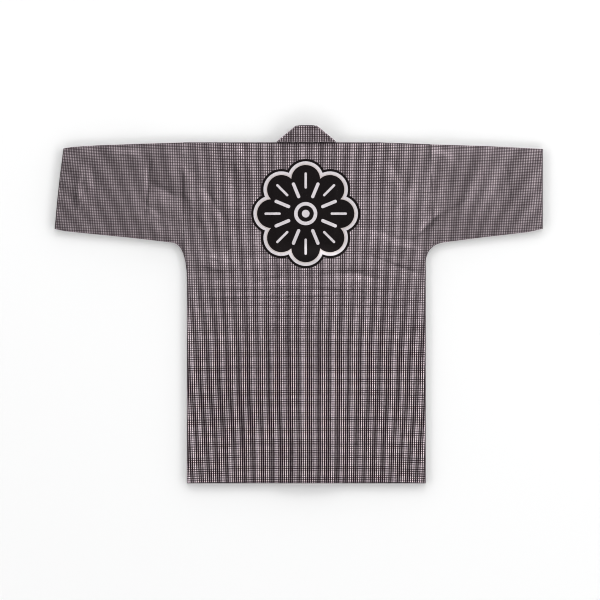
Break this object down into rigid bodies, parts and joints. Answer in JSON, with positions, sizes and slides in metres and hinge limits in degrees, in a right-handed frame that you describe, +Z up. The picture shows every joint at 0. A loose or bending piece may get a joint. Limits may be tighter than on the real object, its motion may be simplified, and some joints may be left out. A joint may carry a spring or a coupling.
{
  "type": "happi coat",
  "caption": "Short straight cotton coat with wide sleeves and a long band collar, laid flat with its back up.",
  "frame": {"origin": "middle of the coat's outline at the level of the surface that it lies on", "axes": "+X towards the wearer's right sleeve, +Y from the hem towards the collar, +Z up out of the surface; the front lies down and the back up"},
  "size_m": [1.2682, 0.9301, 0.0086],
  "materials": {
    "check_cotton": "matt woven cotton in a small dark and pale check"
  },
  "bodies": {
    "root": {"back": "check_cotton", "front_left": "check_cotton", "front_right": "check_cotton", "sleeve_left": "check_cotton", "sleeve_right": "check_cotton", "collar": "check_cotton"}
  },
  "joints": []
}
